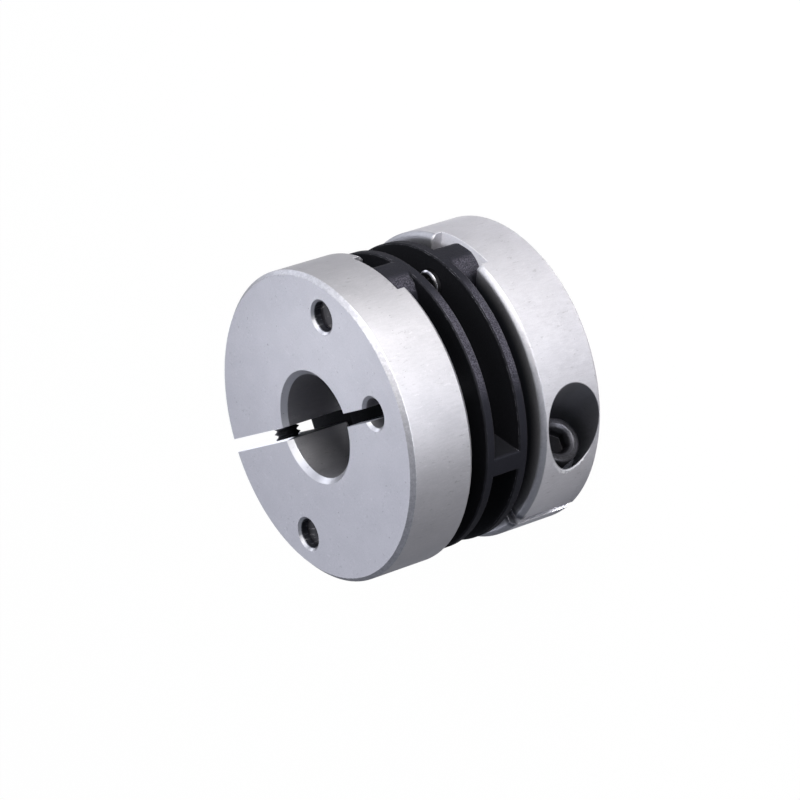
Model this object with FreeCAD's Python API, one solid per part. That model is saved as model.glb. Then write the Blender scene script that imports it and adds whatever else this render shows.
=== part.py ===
import FreeCAD, Part
import math
import os

# Backlash-free shaft coupling: two clamp hubs carried by pins in a one-piece moulded double disc.
# It stands on the rear hub. Millimetres, origin at the centre of the rear hub's outer face.
# +Z runs along the shaft axis towards the front hub, and X along the front hub's clamping slit.

# Hubs, made alike
hub_diameter = 36.0
hub_length = 8.5
hub_edge_chamfer = 0.5
bore_diameter = 12.0
bore_chamfer = 0.6

# Clamping slit, from the outside through the bore to its relief hole, which leaves a wall to the rim
slit_width = 1.5
relief_diameter = 3.4
relief_rim_wall = 4.0
hole_chamfer = 0.35

# Directions about the axis, in degrees from +X: each slit's open end, and the line of the pins
front_slit_angle = 180.0
rear_slit_angle = -71.0
pin_line_angle = 56.0

# Clamp screws, square to the slit: their line's depth below the rim, how far it lies from the middle of
# the hub's length towards the outer face, and their seat's height over the middle of the slit
screw_rim_depth = 5.4
screw_offset = 0.1
screw_seat = 5.8
screw_length = 12.0
thread_diameter = 3.0
thread_end_chamfer = 0.4
tapping_run_out = 1.2
shank_clearance = 0.15
head_diameter = 5.5
head_height = 3.0
head_edge_chamfer = 0.25
head_clearance = 0.85
counterbore_offset = 0.15
socket_width = 2.5
socket_depth = 1.6
socket_lead_in = 0.55
socket_turn = 9.0

# Pins, pressed into the hubs and running in the bosses of the double disc, a wall inside its rim
pin_diameter = 3.4
pin_rim_wall = 1.75
pin_recess = 0.95
pin_overrun = 0.5
pin_end_chamfer = 0.25

# Double disc, its rim set back from the hubs'
disc_setback = 0.55
disc_thickness = 1.2
disc_bore = 18.0
disc_edge_chamfer = 0.15
disc_gap = 3.4
hub_disc_gap = 1.95
web_width = 2.3
web_depth = 4.5
web_edge_radius = 0.2
boss_diameter = 7.2
boss_end_float = 0.2
bush_clearance = 0.05

# Pockets in the hubs' inner faces, for the bosses
pocket_depth = 1.45
pocket_clearance = 0.55

# What follows from these sizes
hub_radius = hub_diameter / 2
bore_radius = bore_diameter / 2
thread_radius = thread_diameter / 2
head_radius = head_diameter / 2
pin_radius = pin_diameter / 2
screw_height = hub_length / 2 - screw_offset
relief_radius = relief_diameter / 2
relief_distance = hub_radius - relief_rim_wall - relief_radius
screw_distance = hub_radius - screw_rim_depth
disc_radius = hub_radius - disc_setback
pin_distance = disc_radius - pin_rim_wall - pin_radius
boss_radius = boss_diameter / 2
counterbore_radius = head_radius + head_clearance
pocket_radius = boss_radius + pocket_clearance
pocket_floor = hub_length - pocket_depth
disc_outer_height = disc_gap / 2 + disc_thickness
overall_length = 2 * (hub_length + hub_disc_gap + disc_outer_height)
pin_length = hub_length + hub_disc_gap + disc_thickness + pin_overrun - pin_recess
boss_length = hub_disc_gap + pocket_depth - boss_end_float

# How far a cutting tool runs past the surface that it breaks through
overcut = 1.0

z_axis = FreeCAD.Vector(0, 0, 1)


def vector(x, y, z=0.0):
    return FreeCAD.Vector(x, y, z)


def polar(distance, angle, z=0.0):
    """The point at a distance from the axis and an angle in degrees from +X."""
    turn = math.radians(angle)
    return vector(distance * math.cos(turn), distance * math.sin(turn), z)


def circular_edges(shape):
    return [edge for edge in shape.Edges if isinstance(edge.Curve, Part.Circle)]


def drilled_hole(radius, chamfer, centre, top_chamfer=True):
    """A cutting tool for a hole through the hub with a chamfer at the outer face and, if asked, the inner."""
    deep = hub_length + 2 * overcut
    tool = Part.makeCylinder(radius, deep, centre - z_axis * overcut)
    mouth = Part.makeCone(radius + chamfer, radius, chamfer, centre)
    tool = tool.fuse(mouth)
    if top_chamfer:
        top = centre + z_axis * (hub_length - chamfer)
        tool = tool.fuse(Part.makeCone(radius, radius + chamfer, chamfer, top))
    return tool


def slit_tool():
    """The saw cut, from the middle of the relief hole out past the open side at +X."""
    length = relief_distance + hub_radius + overcut
    corner = vector(-relief_distance, -slit_width / 2, -overcut)
    return Part.makeBox(length, slit_width, hub_length + 2 * overcut, corner)


def screw_hole_tool():
    """Counterbore and clearance hole down to the slit, and a blind tapped hole beyond it.

    The counterbore lies a little nearer the shaft than the screw.
    """
    along = vector(0, 1)
    seat = vector(screw_distance, screw_seat, screw_height)
    mouth = seat - vector(counterbore_offset, 0)
    counterbore = Part.makeCylinder(counterbore_radius, hub_radius, mouth, along)
    clearance_hole = Part.makeCylinder(thread_radius + shank_clearance, screw_seat, seat, along * -1)
    tapped_hole = Part.makeCylinder(thread_radius, screw_length + tapping_run_out, seat, along * -1)
    return counterbore.fuse([clearance_hole, tapped_hole])


def pocket_tool(angle):
    """A round-ended pocket about a pin, open to the outside and to the inner face."""
    height = pocket_depth + overcut
    round_end = Part.makeCylinder(pocket_radius, height, vector(pin_distance, 0, pocket_floor))
    run = hub_radius - pin_distance + overcut
    corner = vector(pin_distance, -pocket_radius, pocket_floor)
    tool = round_end.fuse(Part.makeBox(run, 2 * pocket_radius, height, corner))
    tool.rotate(vector(0, 0), z_axis, angle)
    return tool


def hub(pin_angle):
    """One hub in its own frame: outer face at z = 0, slit open to +X, screw head towards +Y."""
    body = Part.makeCylinder(hub_radius, hub_length)
    body = body.makeChamfer(hub_edge_chamfer, circular_edges(body))
    tools = [drilled_hole(bore_radius, bore_chamfer, vector(0, 0))]
    tools.append(drilled_hole(relief_radius, hole_chamfer, vector(-relief_distance, 0)))
    tools.append(slit_tool())
    tools.append(screw_hole_tool())
    for angle in (pin_angle, pin_angle + 180):
        tools.append(drilled_hole(pin_radius, hole_chamfer, polar(pin_distance, angle), top_chamfer=False))
        tools.append(pocket_tool(angle))
    return body.cut(tools)


def pin(angle):
    """One pin in its hub's frame."""
    start = polar(pin_distance, angle, pin_recess)
    body = Part.makeCylinder(pin_radius, pin_length, start)
    return body.makeChamfer(pin_end_chamfer, circular_edges(body))


def hexagon_prism(width, height, base, along):
    """A prism with the given width across its flats, from a base point along an axis."""
    corner_distance = width / math.sqrt(3)
    corners = [polar(corner_distance, 60 * step + socket_turn) for step in range(7)]
    prism = Part.Face(Part.makePolygon(corners)).extrude(z_axis * height)
    prism.Placement = FreeCAD.Placement(base, FreeCAD.Rotation(z_axis, along))
    return prism


def clamp_screw():
    """The socket-head screw in its hub's frame, its head towards +Y. Its thread is left plain."""
    along = vector(0, 1)
    seat = vector(screw_distance, screw_seat, screw_height)
    top = seat + along * head_height
    shank = Part.makeCylinder(thread_radius, screw_length, seat, along * -1)
    tip_edges = [edge for edge in circular_edges(shank) if edge.CenterOfMass.y < 0]
    shank = shank.makeChamfer(thread_end_chamfer, tip_edges)
    head = Part.makeCylinder(head_radius, head_height, seat, along)
    rim_edges = [edge for edge in circular_edges(head) if edge.CenterOfMass.y > screw_seat + head_height / 2]
    head = head.makeChamfer(head_edge_chamfer, rim_edges)
    socket = hexagon_prism(socket_width, socket_depth, top, along * -1)
    socket_corner = socket_width / math.sqrt(3)
    lead_in = Part.makeCone(socket_corner + socket_lead_in, socket_corner, socket_lead_in, top, along * -1)
    return head.fuse(shank).cut([socket, lead_in])


def disc_ring(base):
    """One disc, with the edges of its rim broken."""
    ring = Part.makeCylinder(disc_radius, disc_thickness, vector(0, 0, base))
    ring = ring.makeChamfer(disc_edge_chamfer, circular_edges(ring))
    return ring.cut(Part.makeCylinder(disc_bore / 2, disc_thickness, vector(0, 0, base)))


def web(angle):
    """One of the two webs that join the discs, rounded along its outer edges, flush with their rims."""
    height = disc_gap + disc_thickness
    corner = vector(disc_radius - web_depth, -web_width / 2, -height / 2)
    block = Part.makeBox(web_depth, web_width, height, corner)
    block = block.common(Part.makeCylinder(disc_radius, height, vector(0, 0, -height / 2)))
    outer = disc_radius - web_edge_radius
    edges = [edge for edge in block.Edges if is_axial(edge) and edge.CenterOfMass.x > outer]
    block = block.makeFillet(web_edge_radius, edges)
    block.rotate(vector(0, 0), z_axis, angle)
    return block


def is_axial(edge):
    direction = edge.Vertexes[-1].Point - edge.Vertexes[0].Point
    return isinstance(edge.Curve, Part.Line) and math.hypot(direction.x, direction.y) < 1e-6


def boss(angle, side):
    """A bush boss on a disc's outer side, cut flush with the rim, with side +1 for front and -1 for rear."""
    disc_middle = disc_gap / 2 + disc_thickness / 2
    length = disc_thickness / 2 + boss_length
    centre = polar(pin_distance, angle)
    body = Part.makeCylinder(boss_radius, length, centre + z_axis * disc_middle)
    body = body.common(Part.makeCylinder(disc_radius, length, z_axis * disc_middle))
    if side < 0:
        body = body.mirror(vector(0, 0), z_axis)
    return body


def double_disc():
    """Two thin rings joined by two webs, with a boss for each pin at right angles to the webs."""
    upper = disc_ring(disc_gap / 2)
    lower = disc_ring(-disc_outer_height)
    pieces = [lower]
    holes = []
    for half_turn in (0, 180):
        pin_angle = pin_line_angle + half_turn
        pieces += [web(pin_angle + 90), boss(pin_angle, 1), boss(pin_angle, -1)]
        reach = disc_outer_height + boss_length + overcut
        base = polar(pin_distance, pin_angle, -reach)
        holes.append(Part.makeCylinder(pin_radius + bush_clearance, 2 * reach, base))
    body = upper.fuse(pieces).cut(holes).removeSplitter()
    # The bosses of the lower disc stand on the pocket floors of the rear hub
    body.translate(z_axis * (overall_length / 2 - boss_end_float))
    return body


def at_rear(shape):
    shape.rotate(vector(0, 0), z_axis, rear_slit_angle)
    return shape


def at_front(shape):
    """The same frame turned over, so that its outer face is the coupling's front face."""
    shape.rotate(vector(0, 0), vector(1, 0), 180)
    shape.rotate(vector(0, 0), z_axis, front_slit_angle)
    shape.translate(z_axis * overall_length)
    return shape


def main():
    rear_pins = pin_line_angle - rear_slit_angle
    front_pins = front_slit_angle - pin_line_angle
    nodes = {
        "rear_hub": at_rear(hub(rear_pins)),
        "front_hub": at_front(hub(front_pins)),
        "double_disc": double_disc(),
        "rear_clamp_screw": at_rear(clamp_screw()),
        "front_clamp_screw": at_front(clamp_screw()),
    }
    for letter, half_turn in (("a", 0), ("b", 180)):
        nodes["rear_pin_" + letter] = at_rear(pin(rear_pins + half_turn))
        nodes["front_pin_" + letter] = at_front(pin(front_pins + half_turn))
    os.makedirs("parts", exist_ok=True)
    for name, shape in nodes.items():
        solid = shape.Solids[0] if len(shape.Solids) == 1 else shape
        solid.exportStep("parts/" + name + ".step")
        print(name, "solids", len(shape.Solids), "valid", shape.isValid(), "volume", round(shape.Volume, 2))


main()
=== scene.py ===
import math

import bpy
import numpy as np
from mathutils import Matrix, Vector


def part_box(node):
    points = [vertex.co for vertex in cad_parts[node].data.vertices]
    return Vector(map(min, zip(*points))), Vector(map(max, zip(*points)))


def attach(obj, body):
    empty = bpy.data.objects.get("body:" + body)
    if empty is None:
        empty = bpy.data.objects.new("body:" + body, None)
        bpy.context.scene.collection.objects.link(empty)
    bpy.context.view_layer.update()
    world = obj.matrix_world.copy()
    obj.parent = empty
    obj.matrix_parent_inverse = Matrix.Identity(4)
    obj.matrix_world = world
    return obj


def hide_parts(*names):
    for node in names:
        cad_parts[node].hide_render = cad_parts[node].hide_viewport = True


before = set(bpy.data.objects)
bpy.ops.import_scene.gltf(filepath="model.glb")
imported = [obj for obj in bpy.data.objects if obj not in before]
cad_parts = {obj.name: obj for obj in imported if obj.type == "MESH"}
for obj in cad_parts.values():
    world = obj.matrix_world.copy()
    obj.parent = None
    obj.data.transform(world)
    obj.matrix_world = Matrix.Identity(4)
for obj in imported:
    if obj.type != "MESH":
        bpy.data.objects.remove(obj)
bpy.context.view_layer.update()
millimetre = 0.001  # the pieces' sizes below are in millimetres, and the scene is in metres
bevelSamples = 6  # rays that round an edge in the shading
print("frame loaded:", len(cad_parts), "nodes")


class Wire:  # an output socket that is added, multiplied and compared as a number is
    def __init__(self, finish, socket):
        self.finish = finish
        self.socket = socket

    def sum(self, operation, left, right=0.0):
        return self.finish.add("ShaderNodeMath", {"operation": operation}, {0: left, 1: right})

    def __add__(self, other):
        return self.sum("ADD", self, other)

    def __radd__(self, other):
        return self.sum("ADD", other, self)

    def __sub__(self, other):
        return self.sum("SUBTRACT", self, other)

    def __rsub__(self, other):
        return self.sum("SUBTRACT", other, self)

    def __mul__(self, other):
        return self.sum("MULTIPLY", self, other)

    def __rmul__(self, other):
        return self.sum("MULTIPLY", other, self)

    def __truediv__(self, other):
        return self.sum("DIVIDE", self, other)

    def __pow__(self, other):
        return self.sum("POWER", self, other)

    def __abs__(self):
        return self.sum("ABSOLUTE", self)

    def largest(self, other):
        return self.sum("MAXIMUM", self, other)

    def smallest(self, other):
        return self.sum("MINIMUM", self, other)

    def rise(self, low, high):  # 0 below low, 1 above high, smooth between them
        settings = {"interpolation_type": "SMOOTHSTEP"}
        return self.finish.add("ShaderNodeMapRange", settings, {"Value": self, "From Min": low, "From Max": high})

    def fall(self, low, high):  # 1 below low, 0 above high
        return 1 - self.rise(low, high)


class Finish:  # a material, or the world, and its nodes
    def __init__(self, name, constants=None, world=False):
        self.material = (bpy.data.worlds if world else bpy.data.materials).new(name)
        self.material.use_nodes = True
        self.tree = self.material.node_tree
        self.tree.nodes.clear()
        self.output = self.tree.nodes.new("ShaderNodeOutputWorld" if world else "ShaderNodeOutputMaterial")
        if constants is not None:
            self.shader = self.tree.nodes.new("ShaderNodeBsdfPrincipled")
            for socket, value in constants.items():
                self.shader.inputs[socket].default_value = value
            self.tree.links.new(self.shader.outputs[0], self.output.inputs[0])

    def add(self, kind, settings=None, inputs=None, output=0):  # settings first, then values or links
        node = self.tree.nodes.new(kind)
        for key, value in (settings or {}).items():
            setattr(node, key, value)
        for key, value in (inputs or {}).items():
            if isinstance(value, Wire):
                self.tree.links.new(value.socket, node.inputs[key])
            else:
                node.inputs[key].default_value = value
        return Wire(self, node.outputs[output])

    def feed(self, paint, roughness, normal):
        for socket, wire in {"Base Color": paint, "Roughness": roughness, "Normal": normal}.items():
            self.tree.links.new(wire.socket, self.shader.inputs[socket])

    def show(self, wire):  # as the finished shader
        self.tree.links.new(wire.socket, self.output.inputs[0])

    def either(self, share, first, second):  # one shader or another
        return self.add("ShaderNodeMixShader", None, {0: share, 1: first, 2: second})

    def ray(self, kind):
        return self.add("ShaderNodeLightPath", output=kind)

    def place(self):  # the point in millimetres
        point = self.add("ShaderNodeTexCoord", output="Object")
        return self.add("ShaderNodeVectorMath", {"operation": "SCALE"}, {0: point, "Scale": 1 / millimetre})

    def facing(self):  # the way that the surface faces, before any bump
        return self.add("ShaderNodeTexCoord", output="Normal")

    def part(self, vector, axis):
        return self.add("ShaderNodeSeparateXYZ", None, {0: vector}, axis)

    def split(self, vector):
        return [self.part(vector, axis) for axis in range(3)]

    def join(self, x, y, z):
        return self.add("ShaderNodeCombineXYZ", None, {0: x, 1: y, 2: z})

    def noise(self, point, scale, detail=2.0, roughness=0.5):
        inputs = {"Vector": point, "Scale": scale, "Detail": detail, "Roughness": roughness}
        return self.add("ShaderNodeTexNoise", None, inputs)

    def blend(self, share, first, second):  # one colour into another
        return self.add("ShaderNodeMix", {"data_type": "RGBA"}, {0: share, 6: first, 7: second}, 2)

    def bend(self, share, first, second):  # one direction into another
        return self.add("ShaderNodeMix", {"data_type": "VECTOR"}, {0: share, 4: first, 5: second}, 1)

    def soften(self, radius):  # the normal, with edges rounded to this radius
        return self.add("ShaderNodeBevel", {"samples": bevelSamples}, {"Radius": radius * millimetre})

    def edge(self, soft):  # how far that normal turns away from the surface's own: 0 on a flat
        true = self.add("ShaderNodeNewGeometry", output="Normal")
        return 1 - self.add("ShaderNodeVectorMath", {"operation": "DOT_PRODUCT"}, {0: soft, 1: true}, "Value")

    def bump(self, height, strength, depth, normal):
        inputs = {"Strength": strength, "Distance": depth * millimetre, "Height": height, "Normal": normal}
        return self.add("ShaderNodeBump", None, inputs)


def colour(red, green, blue):
    return (red, green, blue, 1.0)


def heading(azimuth):  # a direction across the shaft
    return math.cos(math.radians(azimuth)), math.sin(math.radians(azimuth))


def toward(x, y, azimuth):  # how far x and y reach in that direction
    way = heading(azimuth)
    return x * way[0] + y * way[1]


# The two hubs are alike. Each stands in a place of its own, and meets the light in its own way.
hubPlaces = {
    "front": {
        "slit": 180.0,  # azimuth of the slit's open end
        "foot": 26.7,  # height of the outer face
        "up": -1.0,  # the way from there into the hub
        "paintedLightGain": 1.0,  # how much paler the metal is painted, as painted light where the rear hub lacks it
        "lean": (0.20, 0.03, 0.98),  # the way in which the sawn slit walls catch the light
        "wallDepth": 20.0,  # how deep the painted light on them reaches, from the outer face
        "wallReach": 0.8,  # and how deep at most for each mm from the bore
        "wallPaintedLight": 1.0,  # how strong the painted light on the walls is
    },
    "rear": {
        "slit": -71.0,
        "foot": 0.0,
        "up": 1.0,
        # Painted light: the rear hub's metal is painted paler than the front one's, standing in for light on its rim
        "paintedLightGain": 1.30,
        "lean": (0.82, 0.10, 0.55),
        "wallDepth": 4.2,
        "wallReach": 20.0,
        "wallPaintedLight": 0.3,
    },
}


def intoHub(x, y, z, side):
    # A hub's own frame: along the slit to its open end, across it to the screw's head, up from the outer face
    place = hubPlaces[side]
    c, s = heading(place["slit"])
    return x * c + y * s, (y * c - x * s) * place["up"], (z - place["foot"]) * place["up"]


def fromHub(along, across, height, side):  # the same turn the other way
    place = hubPlaces[side]
    c, s = heading(place["slit"])
    turned = across * place["up"]
    return along * c - turned * s, along * s + turned * c, height * place["up"] + place["foot"]


# Hubs: fine-turned aluminium, anodised clear
hubValues = {
    "paint": colour(0.50, 0.50, 0.53),
    "paintDark": colour(0.43, 0.43, 0.46),
    "paleMetal": colour(0.88, 0.88, 0.90),
    "pit": colour(0.10, 0.10, 0.11),
    # the colour of painted shade in the hollows and in the slit
    "paintedShade": colour(0.030, 0.035, 0.052),
    "roughness": 0.50,
    "bumpStrength": 0.6,
    "bumpDepth": 0.007,
    "edgeRadius": 0.12,
    "softRadius": 0.55,  # of the edge between the inner face and its chamfer

    # The turned shape that the finish follows
    "radius": 18.0,
    "length": 8.5,
    "chamfer": 0.5,
    "boreRadius": 6.0,
    "mouthRadius": 3.6,  # the counterbore, from whose mouth the edge is broken away
    "mouthDistance": 12.45,
    "mouthHeight": 4.15,
    "pocketFloor": 7.05,

    # Patterns: how many to the mm, their detail and how rough it is
    "streaks": (4.5, 2.0, 0.6),  # drawing marks along the bar, seen on the rim
    "streakLength": 5.0,  # as a multiple of their width
    "flecks": (2.8, 2.0, 0.7),  # handling marks on the rim
    "fleckLength": 2.6,
    "scratches": (3.2, 1.0),
    "scratchSqueeze": (0.9, 0.12),  # across a scratch, and along it
    "grain": (8.0, 2.0, 0.6),
    "cloud": (0.3, 2.0),
    "ragged": (2.4, 3.0, 0.7),
    "pits": (2.3, 1.0),
    "handling": (0.35, 2.0),

    # Levels of a pattern between which its marks come in
    "toneLevels": (0.34, 0.66),
    "scratchLevels": (0.66, 0.74),
    "pitLevels": (0.77, 0.80),
    "handledLevels": (0.42, 0.58),
    "darkFleckLevels": (0.62, 0.72),
    "paleFleckLevels": (0.30, 0.38),
    "raggedLevels": (0.42, 0.58),
    "wornHighlitLevels": (0.35, 0.60),
    "wornHighlitTurn": (1 / 30, 0.3),  # how far an edge turns the surface where it is painted pale as worn and highlit

    # Shares of one finish in another
    "toneShares": (0.34, 0.42, 0.24),  # of streaks, grain and cloud
    "scratchShare": 0.05,
    "bevelShare": 0.05,
    "bevelRaggedShare": 0.20,
    "cutShare": 0.35,
    "pitShare": 0.4,
    "darkFleckShare": 0.26,
    "paleFleckShare": 0.13,
    "paleEdgeShare": 0.75,
    "roughnessShares": (0.12, 0.20, 0.12, 0.20),  # of streaks, grain, cut faces and lit slit walls

    # Relief of each pattern
    "streakRelief": 0.4,
    "grainRelief": 0.6,
    "bevelRelief": 0.55,
    "burrRelief": 6.0,
    "fleckRelief": 0.6,

    # The band over which a place begins or ends, in mm
    "bevelEdge": (0.03, 0.09),
    "innerEdge": (0.3, 0.6),  # the softened edge, from the inner face
    "innerEdgeRadii": (15.5, 16.8),
    "innerEdgeSides": (1.2, 2.0),
    "innerFace": (0.02, 0.06),
    "innerFaceRadii": (15.4, 17.8),
    "slitEdge": (0.76, 0.79),
    "slitBorder": (1.0, 1.8),  # the strips beside the open slit
    "slitBorderStart": (0.0, 1.0),
    "borderBareHeights": (6.6, 7.4),
    "borderDarkHeights": (7.4, 7.9),
    "borderDarkRadii": (14.5, 15.5),
    "wallStart": (6.0, 7.0),
    "wallDarkStart": (5.9, 6.2),
    "wallLimit": (-0.5, 0.5),
    "closedStart": (-5.8, -5.0),  # the slit's closed part, from the bore to the relief hole
    "closedEnd": (12.2, 12.4),
    "closedLitDepth": (1.9, 2.6),
    "pinHoleEdge": (1.72, 1.80),
    "sunkEdge": (0.03, 0.08),  # the counterbore's wall
    "sunkAcross": (5.4, 5.7),
    "sunkPaleAcross": (6.5, 12.0),
    "burrWidth": (0.62, 0.72),
    "burrRagged": 0.9,
    "burrAlong": (14.8, 15.5),
    "burrAcross": (5.0, 6.0),
    "burrRadii": (17.6, 17.8),
    "burrHeights": (4.0, 6.5),
    "burrFade": 0.6,
    "pocketEdge": (0.05, 0.10),
    "pocketRadii": (15.8, 16.8),
    "pocketLevel": (0.90, 0.98),  # how squarely it faces along the shaft
    "cutLevelLow": (0.50, 0.62),  # chamfers of the bore and of the holes
    "cutLevelHigh": (0.80, 0.92),
    "cutRadii": (17.0, 17.3),

    # How strong each painted shade is, from 0 to 1
    "mouthShade": 0.83,
    "mouthPale": 0.24,
    "pinHoleShade": 0.85,
    "pinHoleStreak": 0.35,
    "pinHoleStreakLevels": (0.5, 0.7),
    "faceShade": 0.95,
    "chamferShade": 0.35,
    "chamferBorderShade": 0.45,
    "slitShade": 0.9,
    "closedPale": 0.4,
    "borderShade": 0.7,

    # The ways in which places catch the lamps, and how far their normals bend to them
    "burrWay": (0.82, 0.38, 0.42),
    "burrBend": 0.38,
    "pocketWay": (0.60, 0.30, 0.74),
    "pocketBend": 0.62,
    "wallBend": 0.45,
    "wallBendLit": 0.4,
    "closedBend": 0.95,
    "wallFull": 0.4,  # share of its depth to which a slit wall is painted fully lit
}


def slitMasks(side, along, across, height, radius):
    # Painted light and shade in the slit: the strips beside the open slit, its wall painted lit, the mouth of its
    # closed part painted lit, and the rest painted dark as shade
    v, place = hubValues, hubPlaces[side]
    border = abs(across).fall(*v["slitBorder"]) * along.rise(*v["slitBorderStart"])
    inSlit = abs(across).fall(*v["slitEdge"])
    # Painted light on the wall, down to a depth that grows from the bore outwards, and painted shade below it
    unlit = (height - (along - v["boreRadius"]) * place["wallReach"]).rise(*v["wallLimit"])
    depth = height.fall(place["wallDepth"] * v["wallFull"], place["wallDepth"])
    wall = inSlit * along.rise(*v["wallStart"]) * depth * (1 - unlit)
    closed = inSlit * along.fall(*v["closedStart"]) * radius.fall(*v["closedEnd"])
    closedLit = closed * height.fall(*v["closedLitDepth"])
    dark = inSlit * along.rise(*v["wallDarkStart"]) * unlit * v["slitShade"]
    dark = dark.largest(closed * v["slitShade"] - closedLit * v["closedPale"])
    # Painted shade on the inner face beside the open slit
    stripe = border * height.rise(*v["borderDarkHeights"]) * radius.rise(*v["borderDarkRadii"])
    return border, wall, closedLit, dark.largest(stripe * v["borderShade"])


def mouthMasks(along, across, height, radius, ragged):
    # Distance outside the counterbore's mouth gives its sunk wall, painted dark as shade, and the burr just outside
    # it, pale partly as a painted highlight, which is at the end where the rim meets it sharply
    v = hubValues
    mouth = ((along - v["mouthDistance"]) ** 2 + (height - v["mouthHeight"]) ** 2) ** 0.5 - v["mouthRadius"]
    sunk = mouth.fall(*v["sunkEdge"]) * across.rise(*v["sunkAcross"])
    burr = (mouth + ragged * v["burrRagged"]).fall(*v["burrWidth"]) * along.rise(*v["burrAlong"])
    burr = burr * across.rise(*v["burrAcross"]) * radius.rise(*v["burrRadii"])
    return sunk, burr * (1 - height.rise(*v["burrHeights"]) * v["burrFade"])


def pinHoleMask(side, x, y, streaks):  # painted shade in both pin holes of a hub, with paler streaks
    v = hubValues
    shade = v["pinHoleShade"] - streaks.rise(*v["pinHoleStreakLevels"]) * v["pinHoleStreak"]
    holes = []
    for letter in ("a", "b"):
        low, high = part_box(side + "_pin_" + letter)
        middle = (low + high) / (2 * millimetre)
        holes.append((((x - middle[0]) ** 2 + (y - middle[1]) ** 2) ** 0.5).fall(*v["pinHoleEdge"]))
    return holes[0].largest(holes[1]) * shade


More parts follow.
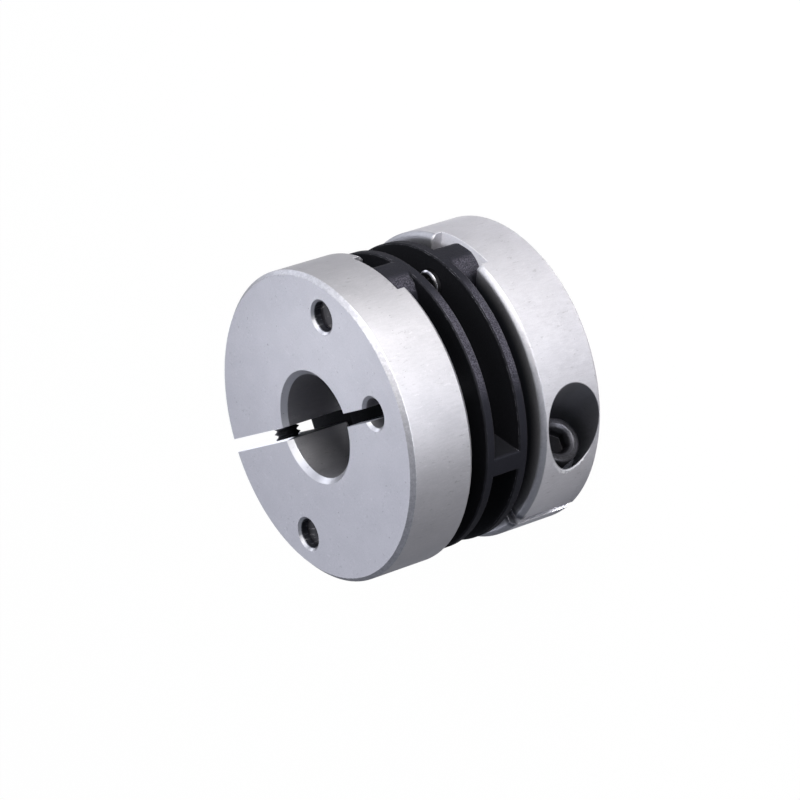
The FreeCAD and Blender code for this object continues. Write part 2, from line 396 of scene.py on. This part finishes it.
def hubFinish(side):
    v, place = hubValues, hubPlaces[side]
    f = Finish(side + "_aluminium", {"Metallic": 1.0, "Roughness": v["roughness"]})
    point = f.place()
    x, y, z = f.split(point)
    radius = (x * x + y * y) ** 0.5
    along, across, height = intoHub(x, y, z, side)
    level = f.part(f.facing(), 2) * place["up"]  # 1 on the inner face, -1 on the outer one

    streaks = f.noise(f.join(x, y, z / v["streakLength"]), *v["streaks"])
    flecks = f.noise(f.join(x, y, z / v["fleckLength"]), *v["flecks"])
    squeeze = v["scratchSqueeze"]
    scratches = f.noise(f.join((x + y) * squeeze[0], (x - y) * squeeze[1], z), *v["scratches"])
    grain = f.noise(point, *v["grain"])
    cloud = f.noise(point, *v["cloud"])
    ragged = f.noise(point, *v["ragged"])
    pits = f.noise(point, *v["pits"]).rise(*v["pitLevels"])
    handled = f.noise(point, *v["handling"]).rise(*v["handledLevels"])

    border, wall, closedLit, dark = slitMasks(side, along, across, height, radius)
    sunk, burr = mouthMasks(along, across, height, radius, ragged)
    soft = f.soften(v["edgeRadius"])
    # Edges painted pale: partly worn metal, partly a painted highlight where an edge catches the light
    wornHighlit = f.edge(soft).rise(*v["wornHighlitTurn"]) * ragged.rise(*v["wornHighlitLevels"])
    wornHighlit = wornHighlit * (1 - border * height.rise(*v["borderBareHeights"]))

    # On a chamfer, depth below the rim plus distance from a face is the chamfer's width
    fromRim = v["radius"] - radius
    fromInner = v["length"] - height
    outerChamfer = abs(fromRim + height - v["chamfer"])
    innerChamfer = abs(fromRim + fromInner - v["chamfer"])
    bevelled = outerChamfer.smallest(innerChamfer).fall(*v["bevelEdge"])
    innerEdge = fromInner.fall(*v["innerEdge"]) * radius.rise(*v["innerEdgeRadii"])
    innerEdge = innerEdge * abs(across).rise(*v["innerEdgeSides"])

    # Painted shade: the counterbore, the pin holes, the inner face towards its middle, under the disc, and the inner
    # chamfer
    dark = dark.largest(sunk * (v["mouthShade"] - across.rise(*v["sunkPaleAcross"]) * v["mouthPale"]))
    dark = dark.largest(pinHoleMask(side, x, y, streaks))
    dark = dark.largest(fromInner.fall(*v["innerFace"]) * radius.fall(*v["innerFaceRadii"]) * v["faceShade"])
    dark = dark.largest(innerChamfer.fall(*v["bevelEdge"]) * (v["chamferShade"] + border * v["chamferBorderShade"]))

    # Milled pocket floors, and the cut chamfers of the bore and of the holes
    pocket = level.rise(*v["pocketLevel"]) * abs(height - v["pocketFloor"]).fall(*v["pocketEdge"])
    pocket = pocket * radius.rise(*v["pocketRadii"])
    cut = abs(level).rise(*v["cutLevelLow"]) * abs(level).fall(*v["cutLevelHigh"])
    cut = cut * radius.fall(*v["cutRadii"]) * (1 - sunk)

    toneShares = v["toneShares"]
    tone = (streaks * toneShares[0] + grain * toneShares[1] + cloud * toneShares[2]).rise(*v["toneLevels"])
    paleBevel = bevelled * (v["bevelShare"] + ragged.rise(*v["raggedLevels"]) * v["bevelRaggedShare"])
    darkFlecks = flecks.rise(*v["darkFleckLevels"]) * handled * v["darkFleckShare"]
    paleFlecks = flecks.fall(*v["paleFleckLevels"]) * handled * v["paleFleckShare"]
    metals = [colour(*(place["paintedLightGain"] * part for part in v[key][:3])) for key in ("paintDark", "paint")]
    paint = f.blend(tone, *metals)
    paint = f.blend(scratches.rise(*v["scratchLevels"]) * v["scratchShare"], paint, v["paleMetal"])
    paint = f.blend(paleBevel.largest(cut * v["cutShare"]), paint, v["paleMetal"])
    paint = f.blend((pits * v["pitShare"]).largest(darkFlecks), paint, v["pit"])
    paint = f.blend(paleFlecks, paint, v["paleMetal"])
    # Painted pale: worn and highlit edges, the burr, and the painted light on the slit walls
    paint = f.blend((wornHighlit.largest(burr) * v["paleEdgeShare"]).largest(wall * place["wallPaintedLight"]), paint, v["paleMetal"])
    # Painted shade laid over the paint
    paint = f.blend(dark, paint, v["paintedShade"])

    relief = (streaks * v["streakRelief"] + grain * v["grainRelief"] + bevelled * (ragged + grain) * v["bevelRelief"]
              + burr * ragged * v["burrRelief"] + flecks * handled * v["fleckRelief"]) * (1 - wall)
    lit = (wall * (v["wallBend"] + place["wallPaintedLight"] * v["wallBendLit"])).largest(closedLit * v["closedBend"])
    turned = f.bend(innerEdge, soft, f.soften(v["softRadius"]))
    turned = f.bend(lit, turned, place["lean"])
    turned = f.bend(burr * v["burrBend"], turned, v["burrWay"])
    pocketWay = v["pocketWay"]
    turned = f.bend(pocket * v["pocketBend"], turned, (pocketWay[0], pocketWay[1], pocketWay[2] * place["up"]))
    streaked, grained, cutBack, litWallBack = v["roughnessShares"]
    roughness = (v["roughness"] + (streaks - 0.5) * streaked + (grain - 0.5) * grained - cut * cutBack
                 - wall * (place["wallPaintedLight"] * litWallBack))
    f.feed(paint, roughness, f.bump(relief, v["bumpStrength"], v["bumpDepth"], turned))
    return f.material


for side in hubPlaces:
    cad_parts[side + "_hub"].material_slots[0].material = hubFinish(side)
print("hubs finished")


# Double disc: black moulded acetal
discValues = {
    "black": colour(0.003, 0.003, 0.004),
    "side": colour(0.003, 0.003, 0.005),
    "rim": colour(0.005, 0.005, 0.008),
    "sandyHighlight": colour(0.066, 0.063, 0.082),
    "grey": colour(0.38, 0.38, 0.44),
    "sheen": colour(0.84, 0.88, 1.0),
    "gloss": 0.19,
    "roughness": 0.66,
    "grainRoughness": 0.3,
    "insideRoughness": 0.3,  # more of it between the two rings
    "edgeRadius": 0.10,
    "bumpStrength": 0.8,
    "bumpDepth": 0.05,
    "grain": (6.5, 2.0, 0.7),  # how many to the mm, detail and roughness
    "coarse": (1.3, 3.0),
    "reliefShares": (0.8, 0.2),  # of grain and coarse
    "sandLevels": (0.32, 0.74),
    "sideLevels": (0.3, 0.8),  # how far a side may lean to the shaft's way

    # The moulded shape that the finish follows
    "webFaces": (11.4, 14.9),  # heights of the two ring faces that the webs stand between
    "webBlur": 0.1,
    "webRadii": (16.9, 17.2),
    "rimRadii": (17.20, 17.35),
    "bossUpper": (16.12, 16.20),
    "bossLower": (10.00, 10.08),
    "bossRadii": (14.5, 15.5),

    # Rims and bosses carry a painted highlight, pale and sandy, on the key lamp's side: azimuths, and cosines of the
    # angle from them
    "sandyHighlightWay": 16.0,
    "sandyHighlightCosines": (0.90, 0.985),
    "bossWay": 14.0,
    "bossCosines": (0.92, 0.99),
    "bossHighlightShare": 0.85,
    "edgeHighlightWay": 45.0,
    "edgeHighlightCosines": (0.80, 0.97),
    "edgeMarkTurn": (1 / 45, 4 / 45),  # how far an edge turns the surface before its pale marks come in
    "edgeMarkLevels": (0.42, 0.60),
    "edgeMarkRadii": (16.4, 16.9),
    "edgeMarkShare": 0.12,
    "edgeHighlightKeySide": 0.35,
    "edgeHighlightWebs": 0.7,
}


def discFinish(name):
    v = discValues
    f = Finish(name, {"Metallic": 0.0, "Roughness": v["roughness"], "Specular IOR Level": v["gloss"],
                      "Specular Tint": v["sheen"]})
    point = f.place()
    x, y, z = f.split(point)
    radius = (x * x + y * y) ** 0.5
    facingX, facingY, facingZ = f.split(f.facing())
    grain = f.noise(point, *v["grain"])
    coarse = f.noise(point, *v["coarse"])
    soft = f.soften(v["edgeRadius"])
    low, high = v["webFaces"]
    between = z.rise(low, low + v["webBlur"]) * z.fall(high - v["webBlur"], high)
    inside = between * radius.fall(*v["webRadii"])
    sideOn = abs(facingZ).fall(*v["sideLevels"]) * (1 - inside)
    rim = sideOn * radius.rise(*v["rimRadii"])
    # Painted highlight: the rims are painted paler and sandy on the key lamp's side
    sandyHighlight = (toward(x, y, v["sandyHighlightWay"]) / radius).rise(*v["sandyHighlightCosines"])
    keySideHighlight = (toward(x, y, v["edgeHighlightWay"]) / radius).rise(*v["edgeHighlightCosines"])
    # Painted highlight on the boss sides that face the key side
    boss = (z.rise(*v["bossUpper"]) + z.fall(*v["bossLower"])) * radius.rise(*v["bossRadii"]) * sideOn
    boss = boss * toward(facingX, facingY, v["bossWay"]).rise(*v["bossCosines"]) * v["bossHighlightShare"]
    # Painted highlight along the disc's edges, broken by noise, stronger on the key side and on the web edges;
    # partly edge wear
    paleWearAndHighlight = f.edge(soft).rise(*v["edgeMarkTurn"]) * coarse.rise(*v["edgeMarkLevels"]) * radius.rise(*v["edgeMarkRadii"])
    paleWearAndHighlight = paleWearAndHighlight * (v["edgeMarkShare"] + keySideHighlight * v["edgeHighlightKeySide"] + between * v["edgeHighlightWebs"])
    paint = f.blend(sideOn, v["black"], v["side"])
    paint = f.blend(rim, paint, v["rim"])
    paint = f.blend((rim * sandyHighlight).largest(boss) * grain.rise(*v["sandLevels"]), paint, v["sandyHighlight"])
    paint = f.blend(paleWearAndHighlight, paint, v["grey"])
    roughness = v["roughness"] + (grain - 0.5) * v["grainRoughness"] + inside * v["insideRoughness"]
    relief = grain * v["reliefShares"][0] + coarse * v["reliefShares"][1]
    f.feed(paint, roughness, f.bump(relief, v["bumpStrength"], v["bumpDepth"], soft))
    return f.material


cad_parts["double_disc"].material_slots[0].material = discFinish("disc_acetal")
print("double disc finished")


# Pins: ground steel with sawn ends
pinValues = {
    # The chamfer band keeps a pale steel colour as a painted highlight; the dark sides and the near-black ends are
    # painted shade for pins that sit in holes and in the gap between the discs
    "chamferHighlight": colour(0.55, 0.55, 0.58),
    "side": colour(0.10, 0.10, 0.11),
    "shadedEnd": colour(0.040, 0.039, 0.042),
    "streak": colour(0.22, 0.21, 0.21),
    "roughness": 0.30,
    "endRoughness": 0.15,
    "grainRoughness": 0.15,
    "edgeRadius": 0.06,
    "bumpStrength": 0.6,
    "bumpDepth": 0.02,
    "grainRelief": 0.2,
    "grain": (8.0, 2.0),  # how many to the mm, detail and roughness
    "saw": (1.0, 3.0, 0.6),
    "sawSqueeze": (0.6, 3.0, 3.0),  # along the saw's cut, and across it
    "sawLevels": (0.55, 0.75),
    "endLevel": (0.90, 0.97),  # how squarely an end faces along the shaft
    "bevelLevel": (0.3, 0.5),
    "middle": 13.35,  # height midway between the inner ends
    "innerEnd": 1.2,  # from the middle to an inner end
    "chamferHighlightBand": (0.09, 0.15),  # the lower half of an inner end's chamfer is painted pale as a highlight
}


def pinFinish(name):
    v = pinValues
    f = Finish(name, {"Metallic": 1.0, "Roughness": v["roughness"]})
    point = f.place()
    x, y, z = f.split(point)
    level = abs(f.part(f.facing(), 2))
    end = level.rise(*v["endLevel"])
    bevel = level.rise(*v["bevelLevel"]) * (1 - end)
    squeeze = v["sawSqueeze"]
    saw = f.noise(f.join(x * squeeze[0], y * squeeze[1], z * squeeze[2]), *v["saw"])
    grain = f.noise(point, *v["grain"])
    fromEnd = abs(z - v["middle"]) - v["innerEnd"]
    paint = f.blend(bevel * fromEnd.rise(*v["chamferHighlightBand"]), v["side"], v["chamferHighlight"])
    paint = f.blend(end, paint, f.blend(saw.rise(*v["sawLevels"]), v["shadedEnd"], v["streak"]))
    roughness = v["roughness"] + end * v["endRoughness"] + (grain - 0.5) * v["grainRoughness"]
    relief = saw * end + grain * v["grainRelief"]
    f.feed(paint, roughness, f.bump(relief, v["bumpStrength"], v["bumpDepth"], f.soften(v["edgeRadius"])))
    return f.material


pinSteel = pinFinish("pin_ground_steel")
for side in hubPlaces:
    for letter in ("a", "b"):
        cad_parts[side + "_pin_" + letter].material_slots[0].material = pinSteel
print("pins finished")


# Clamp screws: black socket heads with a real thread
screwValues = {
    "axisDistance": 12.6,  # from the shaft axis, along the slit
    "axisHeight": 4.15,  # from the hub's outer face
    "seat": 5.8,  # of the head, above the middle of the slit
    "headRadius": 2.75,
    "headHeight": 3.0,
    "headRound": 0.28,
    "headRoundSteps": 7,
    "headUnderChamfer": 0.12,
    "neck": ((1.63, 0.0), (1.53, -0.04), (1.48, -0.14)),  # radius and height of the fillet's rings
    "socketFlat": 1.25,  # half the width across the flats
    "socketDepth": 1.6,
    "socketTurn": 21.0,  # a corner of the hexagon, in degrees
    "socketFloorEdge": 0.05,
    "coneRadius": 1.99,  # of the socket's mouth
    "coneEdge": 0.03,
    "length": 12.0,
    "crestRadius": 1.495,
    "pitch": 0.63,
    "threadTurn": {"front": 0.16, "rear": 0.3},  # as a share of a whole turn
    "threadDepth": 0.36,
    "threadStart": 0.3,  # below the seat
    "threadRunIn": (0.4, 0.5),  # where it begins to deepen, and over what length
    "crestFlat": 0.06,
    "flank": 0.9,
    "rootRound": 0.55,
    "tipChamfer": 0.4,
    "tipEdge": 0.02,
    "columns": 96,
    "rowsPerPitch": 20,
    "sharpAngle": 38.0,
    "black": colour(0.028, 0.028, 0.032),
    # pale for grain and rubbed edges, and for the painted highlight on the ring round the socket
    "paleWearAndHighlight": colour(0.26, 0.26, 0.30),
    # painted shade in the hex socket
    "paintedShade": colour(0.006, 0.006, 0.008),
    "metallic": 0.75,
    "roughness": 0.38,
    "grainRoughness": 0.3,
    "edgeRadius": 0.08,
    "bumpStrength": 0.7,
    "bumpDepth": 0.02,
    "grain": (6.0, 3.0, 0.6),  # how many to the mm, detail and roughness
    "patches": (0.9, 3.0),
    "grainLevels": (0.30, 0.75),
    "grainShare": 0.14,
    "rubTurn": (1 / 30, 0.3),  # how far a rubbed edge turns the surface
    "rubLevels": (0.3, 0.6),
    "rubShare": 0.3,
    "ringInner": (1.66, 1.78),  # the ring round the socket's mouth, painted pale as a highlight
    "ringOuter": (1.95, 2.10),
    "ringHeights": (2.5, 2.7),
    "ringShare": 0.22,
    "socketRadii": (1.56, 1.70),
    "socketHeights": (1.2, 1.3),
    "socketShade": 0.85,
}


def screwRings(phase):
    # Rings about the screw's axis, as radius and height over the seat, both arrays of ring by column.
    # Socket floor, hexagon wall, cone, flat, rounded rim, side, underside, neck, thread, chamfered tip.
    v = screwValues
    corner = math.radians(v["socketTurn"])
    turn = corner + 2 * math.pi * np.arange(v["columns"]) / v["columns"]
    same = np.ones_like(turn)
    # Hexagon: distance to the flat = half width / cos(angle from its middle)
    hexagon = v["socketFlat"] / np.cos((turn - corner) % (math.pi / 3) - math.pi / 6)
    top = v["headHeight"]
    floor = top - v["socketDepth"]
    coneEnd = top - (v["coneRadius"] - hexagon)  # a 45 degree cone meets the hexagon in arcs
    floorEdge, coneEdge = v["socketFloorEdge"], v["coneEdge"]
    rings = [(0 * same, floor * same), (0.5 * hexagon, floor * same), (hexagon - floorEdge, floor * same),
             (hexagon, (floor + floorEdge) * same), (hexagon, coneEnd - coneEdge),
             (hexagon + coneEdge, coneEnd + coneEdge),
             ((v["coneRadius"] - coneEdge) * same, (top - coneEdge) * same),
             ((v["coneRadius"] + coneEdge) * same, top * same)]
    # Rim: flat end + round x sin(angle), top - round + round x cos(angle)
    for angle in np.linspace(0, math.pi / 2, v["headRoundSteps"]):
        rings.append(((v["headRadius"] - v["headRound"] + v["headRound"] * math.sin(angle)) * same,
                      (top - v["headRound"] + v["headRound"] * math.cos(angle)) * same))
    under = v["headUnderChamfer"]
    for radius, height in ((v["headRadius"], under), (v["headRadius"] - under, 0.0), *v["neck"]):
        rings.append((radius * same, height * same))
    # Thread: radius = crest - depth x f(t), t = 0 on a crest and 1 in a root of the helix height / pitch - turn
    step = v["pitch"] / v["rowsPerPitch"]
    along, around = np.meshgrid(np.arange(-v["threadStart"], -v["length"] - 1e-9, -step), turn, indexing="ij")
    share = (along / v["pitch"] - around / (2 * math.pi) + phase) % 1.0
    t = np.clip((np.abs(2 * share - 1) - v["crestFlat"]) / v["flank"], 0, 1)
    runIn, runInLength = v["threadRunIn"]
    depth = v["threadDepth"] * np.clip((-along - runIn) / runInLength, 0, 1)
    radii = v["crestRadius"] - depth * ((1 - v["rootRound"]) * t + v["rootRound"] * np.sin(t * math.pi / 2))
    tip = v["crestRadius"] - v["tipChamfer"]
    rings += list(zip(np.minimum(radii, tip + along + v["length"]), along))
    for radius in (tip - v["tipEdge"], 0.5 * tip, 0):
        rings.append((radius * same, -v["length"] * same))
    return turn, np.array([radius for radius, height in rings]), np.array([height for radius, height in rings])


def ringMesh(name, points, sharpAngle):
    # Quads between rings of points, with the first and last rings drawn together to single points
    count, columns = points.shape[:2]
    ring = np.arange(columns)
    following = np.roll(ring, -1)
    vertices = np.vstack([points[0, :1], points[1:-1].reshape(-1, 3), points[-1, :1]])
    last = len(vertices) - 1
    start = 1 + columns * np.arange(count - 3)[:, None]
    quads = np.stack([start + ring, start + following, start + columns + following, start + columns + ring], -1)
    first = np.stack([np.zeros(columns, int), 1 + following, 1 + ring], -1)
    final = np.stack([np.full(columns, last), last - columns + ring, last - columns + following], -1)
    faces = quads.reshape(-1, 4).tolist() + first.tolist() + final.tolist()
    mesh = bpy.data.meshes.new(name)
    mesh.from_pydata(vertices.tolist(), [], faces)
    mesh.validate()
    mesh.shade_smooth()
    mesh.set_sharp_from_angle(angle=math.radians(sharpAngle))
    return mesh


def screwFinish(name, side):
    v = screwValues
    f = Finish(name, {"Metallic": v["metallic"], "Roughness": v["roughness"]})
    point = f.place()
    along, across, height = intoHub(*f.split(point), side)
    level = across - v["seat"]
    off = ((along - v["axisDistance"]) ** 2 + (height - v["axisHeight"]) ** 2) ** 0.5
    grain = f.noise(point, *v["grain"])
    patches = f.noise(point, *v["patches"])
    soft = f.soften(v["edgeRadius"])
    rub = f.edge(soft).rise(*v["rubTurn"]) * patches.rise(*v["rubLevels"])
    # Painted shade in the hex socket, and a painted highlight on the ring round its mouth
    socket = off.fall(*v["socketRadii"]) * level.rise(*v["socketHeights"])
    ring = off.rise(*v["ringInner"]) * off.fall(*v["ringOuter"]) * level.rise(*v["ringHeights"])
    pale = grain.rise(*v["grainLevels"]) * v["grainShare"] + ring * v["ringShare"]
    paint = f.blend(pale.largest(rub * v["rubShare"]), v["black"], v["paleWearAndHighlight"])
    paint = f.blend(socket * v["socketShade"], paint, v["paintedShade"])
    roughness = v["roughness"] + (grain - 0.5) * v["grainRoughness"]
    f.feed(paint, roughness, f.bump(grain, v["bumpStrength"], v["bumpDepth"], soft))
    return f.material


def clampScrew(side):  # point = the screw's axis + radius x (sin, cos) of the turn, carried from the hub's frame
    v = screwValues
    name = side + "_screw"
    turn, radii, heights = screwRings(v["threadTurn"][side])
    points = np.stack(fromHub(v["axisDistance"] + radii * np.sin(turn), v["seat"] + heights,
                              v["axisHeight"] + radii * np.cos(turn), side), -1) * millimetre
    screw = bpy.data.objects.new(name, ringMesh(name, points, v["sharpAngle"]))
    bpy.context.scene.collection.objects.link(screw)
    screw.data.materials.append(screwFinish(name + "_steel", side))
    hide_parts(side + "_clamp_screw")
    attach(screw, "root")


for side in hubPlaces:
    clampScrew(side)
print("screws made")


cameraValues = {
    "right": (0.59431173, -0.11148654, -0.79646991),  # its axes in a frame turned by turnAboutShaft
    "up": (-0.16625733, 0.95192072, -0.25730417),
    "back": (0.78686216, 0.28533785, 0.5472022),
    "turnAboutShaft": 17.37,
    "location": (0.368249, 0.016470, 0.255758),
    "lens": 175.42,
    "sensorWidth": 36.0,
    "nearest": 0.01,
}


def camera():
    v = cameraValues
    data = bpy.data.cameras.new("camera")
    data.sensor_width = v["sensorWidth"]
    data.lens = v["lens"]
    data.clip_start = v["nearest"]
    placed = bpy.data.objects.new("camera", data)
    bpy.context.scene.collection.objects.link(placed)
    axes = Matrix((v["right"], v["up"], v["back"])).transposed()
    back = Matrix.Rotation(-math.radians(v["turnAboutShaft"]), 3, "Z")
    placed.matrix_world = Matrix.Translation(Vector(v["location"])) @ (back @ axes).to_4x4()
    bpy.context.scene.camera = placed


stageValues = {
    "floorSize": 3.0,
    "floorLevel": -0.00002,  # just under the rear hub's outer face
    "floorPaint": colour(0.62, 0.62, 0.62),
    "floorWhite": 1.01,
    "floorSeenWhite": 0.98,  # how far the camera sees the floor as plain white; the rest keeps the shadow
    "white": colour(1.0, 1.0, 1.0),
    "worldTint": colour(0.90, 0.95, 1.10),
    "worldFill": 0.05,
    "worldGloss": 0.21,  # what the metal mirrors, dimmer than the white that the camera sees
    "worldWhite": 1.0,
}


def stage():
    v = stageValues
    half, level = v["floorSize"] / 2, v["floorLevel"]
    corners = [(-half, -half, level), (half, -half, level), (half, half, level), (-half, half, level)]
    mesh = bpy.data.meshes.new("floor")
    mesh.from_pydata(corners, [], [(0, 1, 2, 3)])
    floor = bpy.data.objects.new("floor", mesh)
    bpy.context.scene.collection.objects.link(floor)
    f = Finish("floor_white")
    paint = f.add("ShaderNodeBsdfDiffuse", None, {"Color": v["floorPaint"]})
    white = f.add("ShaderNodeEmission", None, {"Color": v["white"], "Strength": v["floorWhite"]})
    seen = f.ray("Is Camera Ray").largest(f.ray("Is Transmission Ray"))
    f.show(f.either(seen * v["floorSeenWhite"], paint, white))
    floor.data.materials.append(f.material)
    w = Finish("studio", world=True)
    tints = ((v["worldTint"], v["worldFill"]), (v["worldTint"], v["worldGloss"]), (v["white"], v["worldWhite"]))
    fill, gloss, white = [w.add("ShaderNodeBackground", None, {"Color": tint, "Strength": strength})
                          for tint, strength in tints]
    seen = w.ray("Is Camera Ray").largest(w.ray("Is Transmission Ray"))
    w.show(w.either(seen, w.either(w.ray("Is Glossy Ray"), fill, gloss), white))
    bpy.context.scene.world = w.material


# Lamps: azimuth and elevation in degrees, sizes in metres, power in watts
lampAim = (0.0, 0.0, 0.012)
lampValues = {
    "left_softbox": {"azimuth": 190.0, "elevation": 56.0, "distance": 0.15, "width": 0.14, "height": 0.14,
                     "power": 0.078, "colour": (0.94, 0.95, 1.03)},
    "left_low": {"azimuth": 130.0, "elevation": 12.0, "distance": 0.40, "width": 0.16, "height": 0.16,
                 "power": 0.22, "colour": (0.96, 0.98, 1.05)},
    "right_strip": {"azimuth": -10.0, "elevation": 1.5, "distance": 0.15, "width": 0.10, "height": 0.016,
                    "power": 0.100, "colour": (0.97, 0.98, 1.03)},
    "key_strip": {"azimuth": 15.0, "elevation": 1.5, "distance": 0.15, "width": 0.10, "height": 0.016,
                  "power": 0.088, "colour": (1.0, 0.97, 0.94)},
    "key_near": {"azimuth": 45.0, "elevation": 14.0, "distance": 0.15, "width": 0.08, "height": 0.08,
                 "power": 0.266, "colour": (1.0, 0.972, 0.935)},
    "over_near": {"azimuth": 40.0, "elevation": 58.0, "distance": 0.15, "width": 0.10, "height": 0.10,
                  "power": 0.050, "colour": (1.0, 0.985, 0.97)},
    "top_near": {"azimuth": 87.0, "elevation": 42.0, "distance": 0.15, "width": 0.10, "height": 0.10,
                 "power": 0.036, "colour": (0.95, 0.97, 1.06)},
}

spotValues = {  # a narrow lamp that makes the front face paler towards the key side
    "azimuth": 180.0,
    "elevation": 38.0,
    "distance": 0.40,
    "aim": (0.008, 0.009, 0.0267),
    "cone": 4.2,
    "blend": 1.0,
    "power": 0.33,
    "size": 0.01,
}


def hang(data, v, aim):  # a lamp, at its distance from the point that it is aimed at
    elevation = math.radians(v["elevation"])
    c, s = heading(v["azimuth"])
    way = Vector((c * math.cos(elevation), s * math.cos(elevation), math.sin(elevation)))
    data.energy = v["power"]
    lamp = bpy.data.objects.new(data.name, data)
    bpy.context.scene.collection.objects.link(lamp)
    aimed = way.to_track_quat("Z", "Y").to_matrix().to_4x4()
    lamp.matrix_world = Matrix.Translation(Vector(aim) + way * v["distance"]) @ aimed
    lamp.visible_camera = False


def light():
    for name, v in lampValues.items():
        data = bpy.data.lights.new(name, "AREA")
        data.shape = "RECTANGLE"
        data.size = v["width"]
        data.size_y = v["height"]
        data.color = v["colour"]
        hang(data, v, lampAim)
    spot = bpy.data.lights.new("face_spot", "SPOT")
    spot.spot_size = math.radians(spotValues["cone"])
    spot.spot_blend = spotValues["blend"]
    spot.shadow_soft_size = spotValues["size"]
    hang(spot, spotValues, spotValues["aim"])


camera()
stage()
light()
bpy.context.scene.view_settings.view_transform = "Standard"
print("camera, floor and light set")
